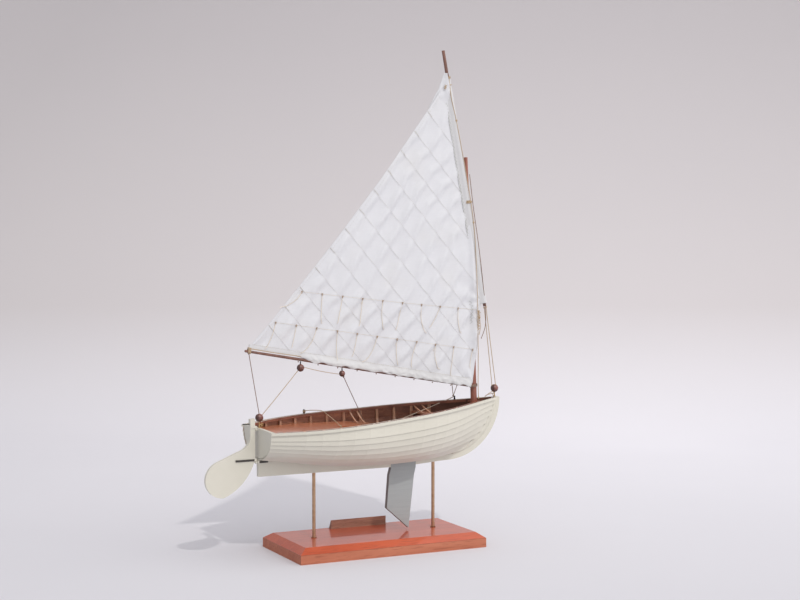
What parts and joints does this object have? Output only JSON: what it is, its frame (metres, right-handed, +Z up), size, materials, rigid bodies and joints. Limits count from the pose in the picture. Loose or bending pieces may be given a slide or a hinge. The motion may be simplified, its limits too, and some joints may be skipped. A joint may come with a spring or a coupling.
{
  "type": "model sailing dinghy on plinth",
  "caption": "Clinker-planked model sailing dinghy with a standing lug sail, hung rudder and lowered board, on two rods above a bevelled plinth.",
  "frame": {"origin": "centre of the plinth's underside", "axes": "+X towards the bow, +Y to port, +Z up"},
  "size_m": [0.3991, 0.1583, 0.6206],
  "materials": {
    "bead_wood": "satin varnish",
    "black_iron": "satin black",
    "brass": "satin brass",
    "grey_paint": "satin grey paint",
    "hull_paint": "satin cream paint",
    "hull_wood": "satin varnish",
    "line": "twisted cotton",
    "plinth_wood": "gloss varnish",
    "sailcloth": "woven cotton cloth",
    "spar_wood": "satin varnish"
  },
  "bodies": {
    "boat_and_plinth": {"bead_eyes": "brass", "centreboard": "grey_paint", "end_beads": "bead_wood", "fore_thwart": "hull_wood", "gudgeons": "black_iron", "hog": "hull_wood", "inwales": "hull_wood", "keel_and_stem": "hull_paint", "mast": "spar_wood", "mast_partner": "hull_wood", "mast_step": "hull_wood", "middle_thwart": "hull_wood", "nameplate": "plinth_wood", "plinth": "plinth_wood", "rail_pins": "black_iron", "ribs": "hull_wood", "rod_collars": "brass", "rods": "brass", "rub_rails": "hull_paint", "stern_sheets": "hull_wood", "strake_1": "hull_paint", "strake_2": "hull_paint", "strake_3": "hull_paint", "strake_4": "hull_paint", "strake_5": "hull_paint", "strake_6": "hull_paint", "strake_7": "hull_paint", "strake_8": "hull_paint", "thwart_knees": "hull_wood", "transom": "hull_paint"},
    "rudder": {"pintles": "black_iron", "rudder": "hull_paint"},
    "rig": {"boom": "spar_wood", "boom_beads": "bead_wood", "boom_collar": "line", "boom_hooks": "black_iron", "parrel": "line", "sail": "sailcloth", "yard": "spar_wood"}
  },
  "joints": [
    {"name": "rudder_hinge", "type": "hinge", "parent": "boat_and_plinth", "child": "rudder", "pos_m": [-0.1576, 0, 0.12], "axis": [0, 0, 1], "range_deg": [-35, 35]},
    {"name": "rig_swing", "type": "hinge", "parent": "boat_and_plinth", "child": "rig", "pos_m": [0.1406, 0, 0.1804], "axis": [-0.04, 0, 0.9992], "range_deg": [-60, 60]}
  ]
}
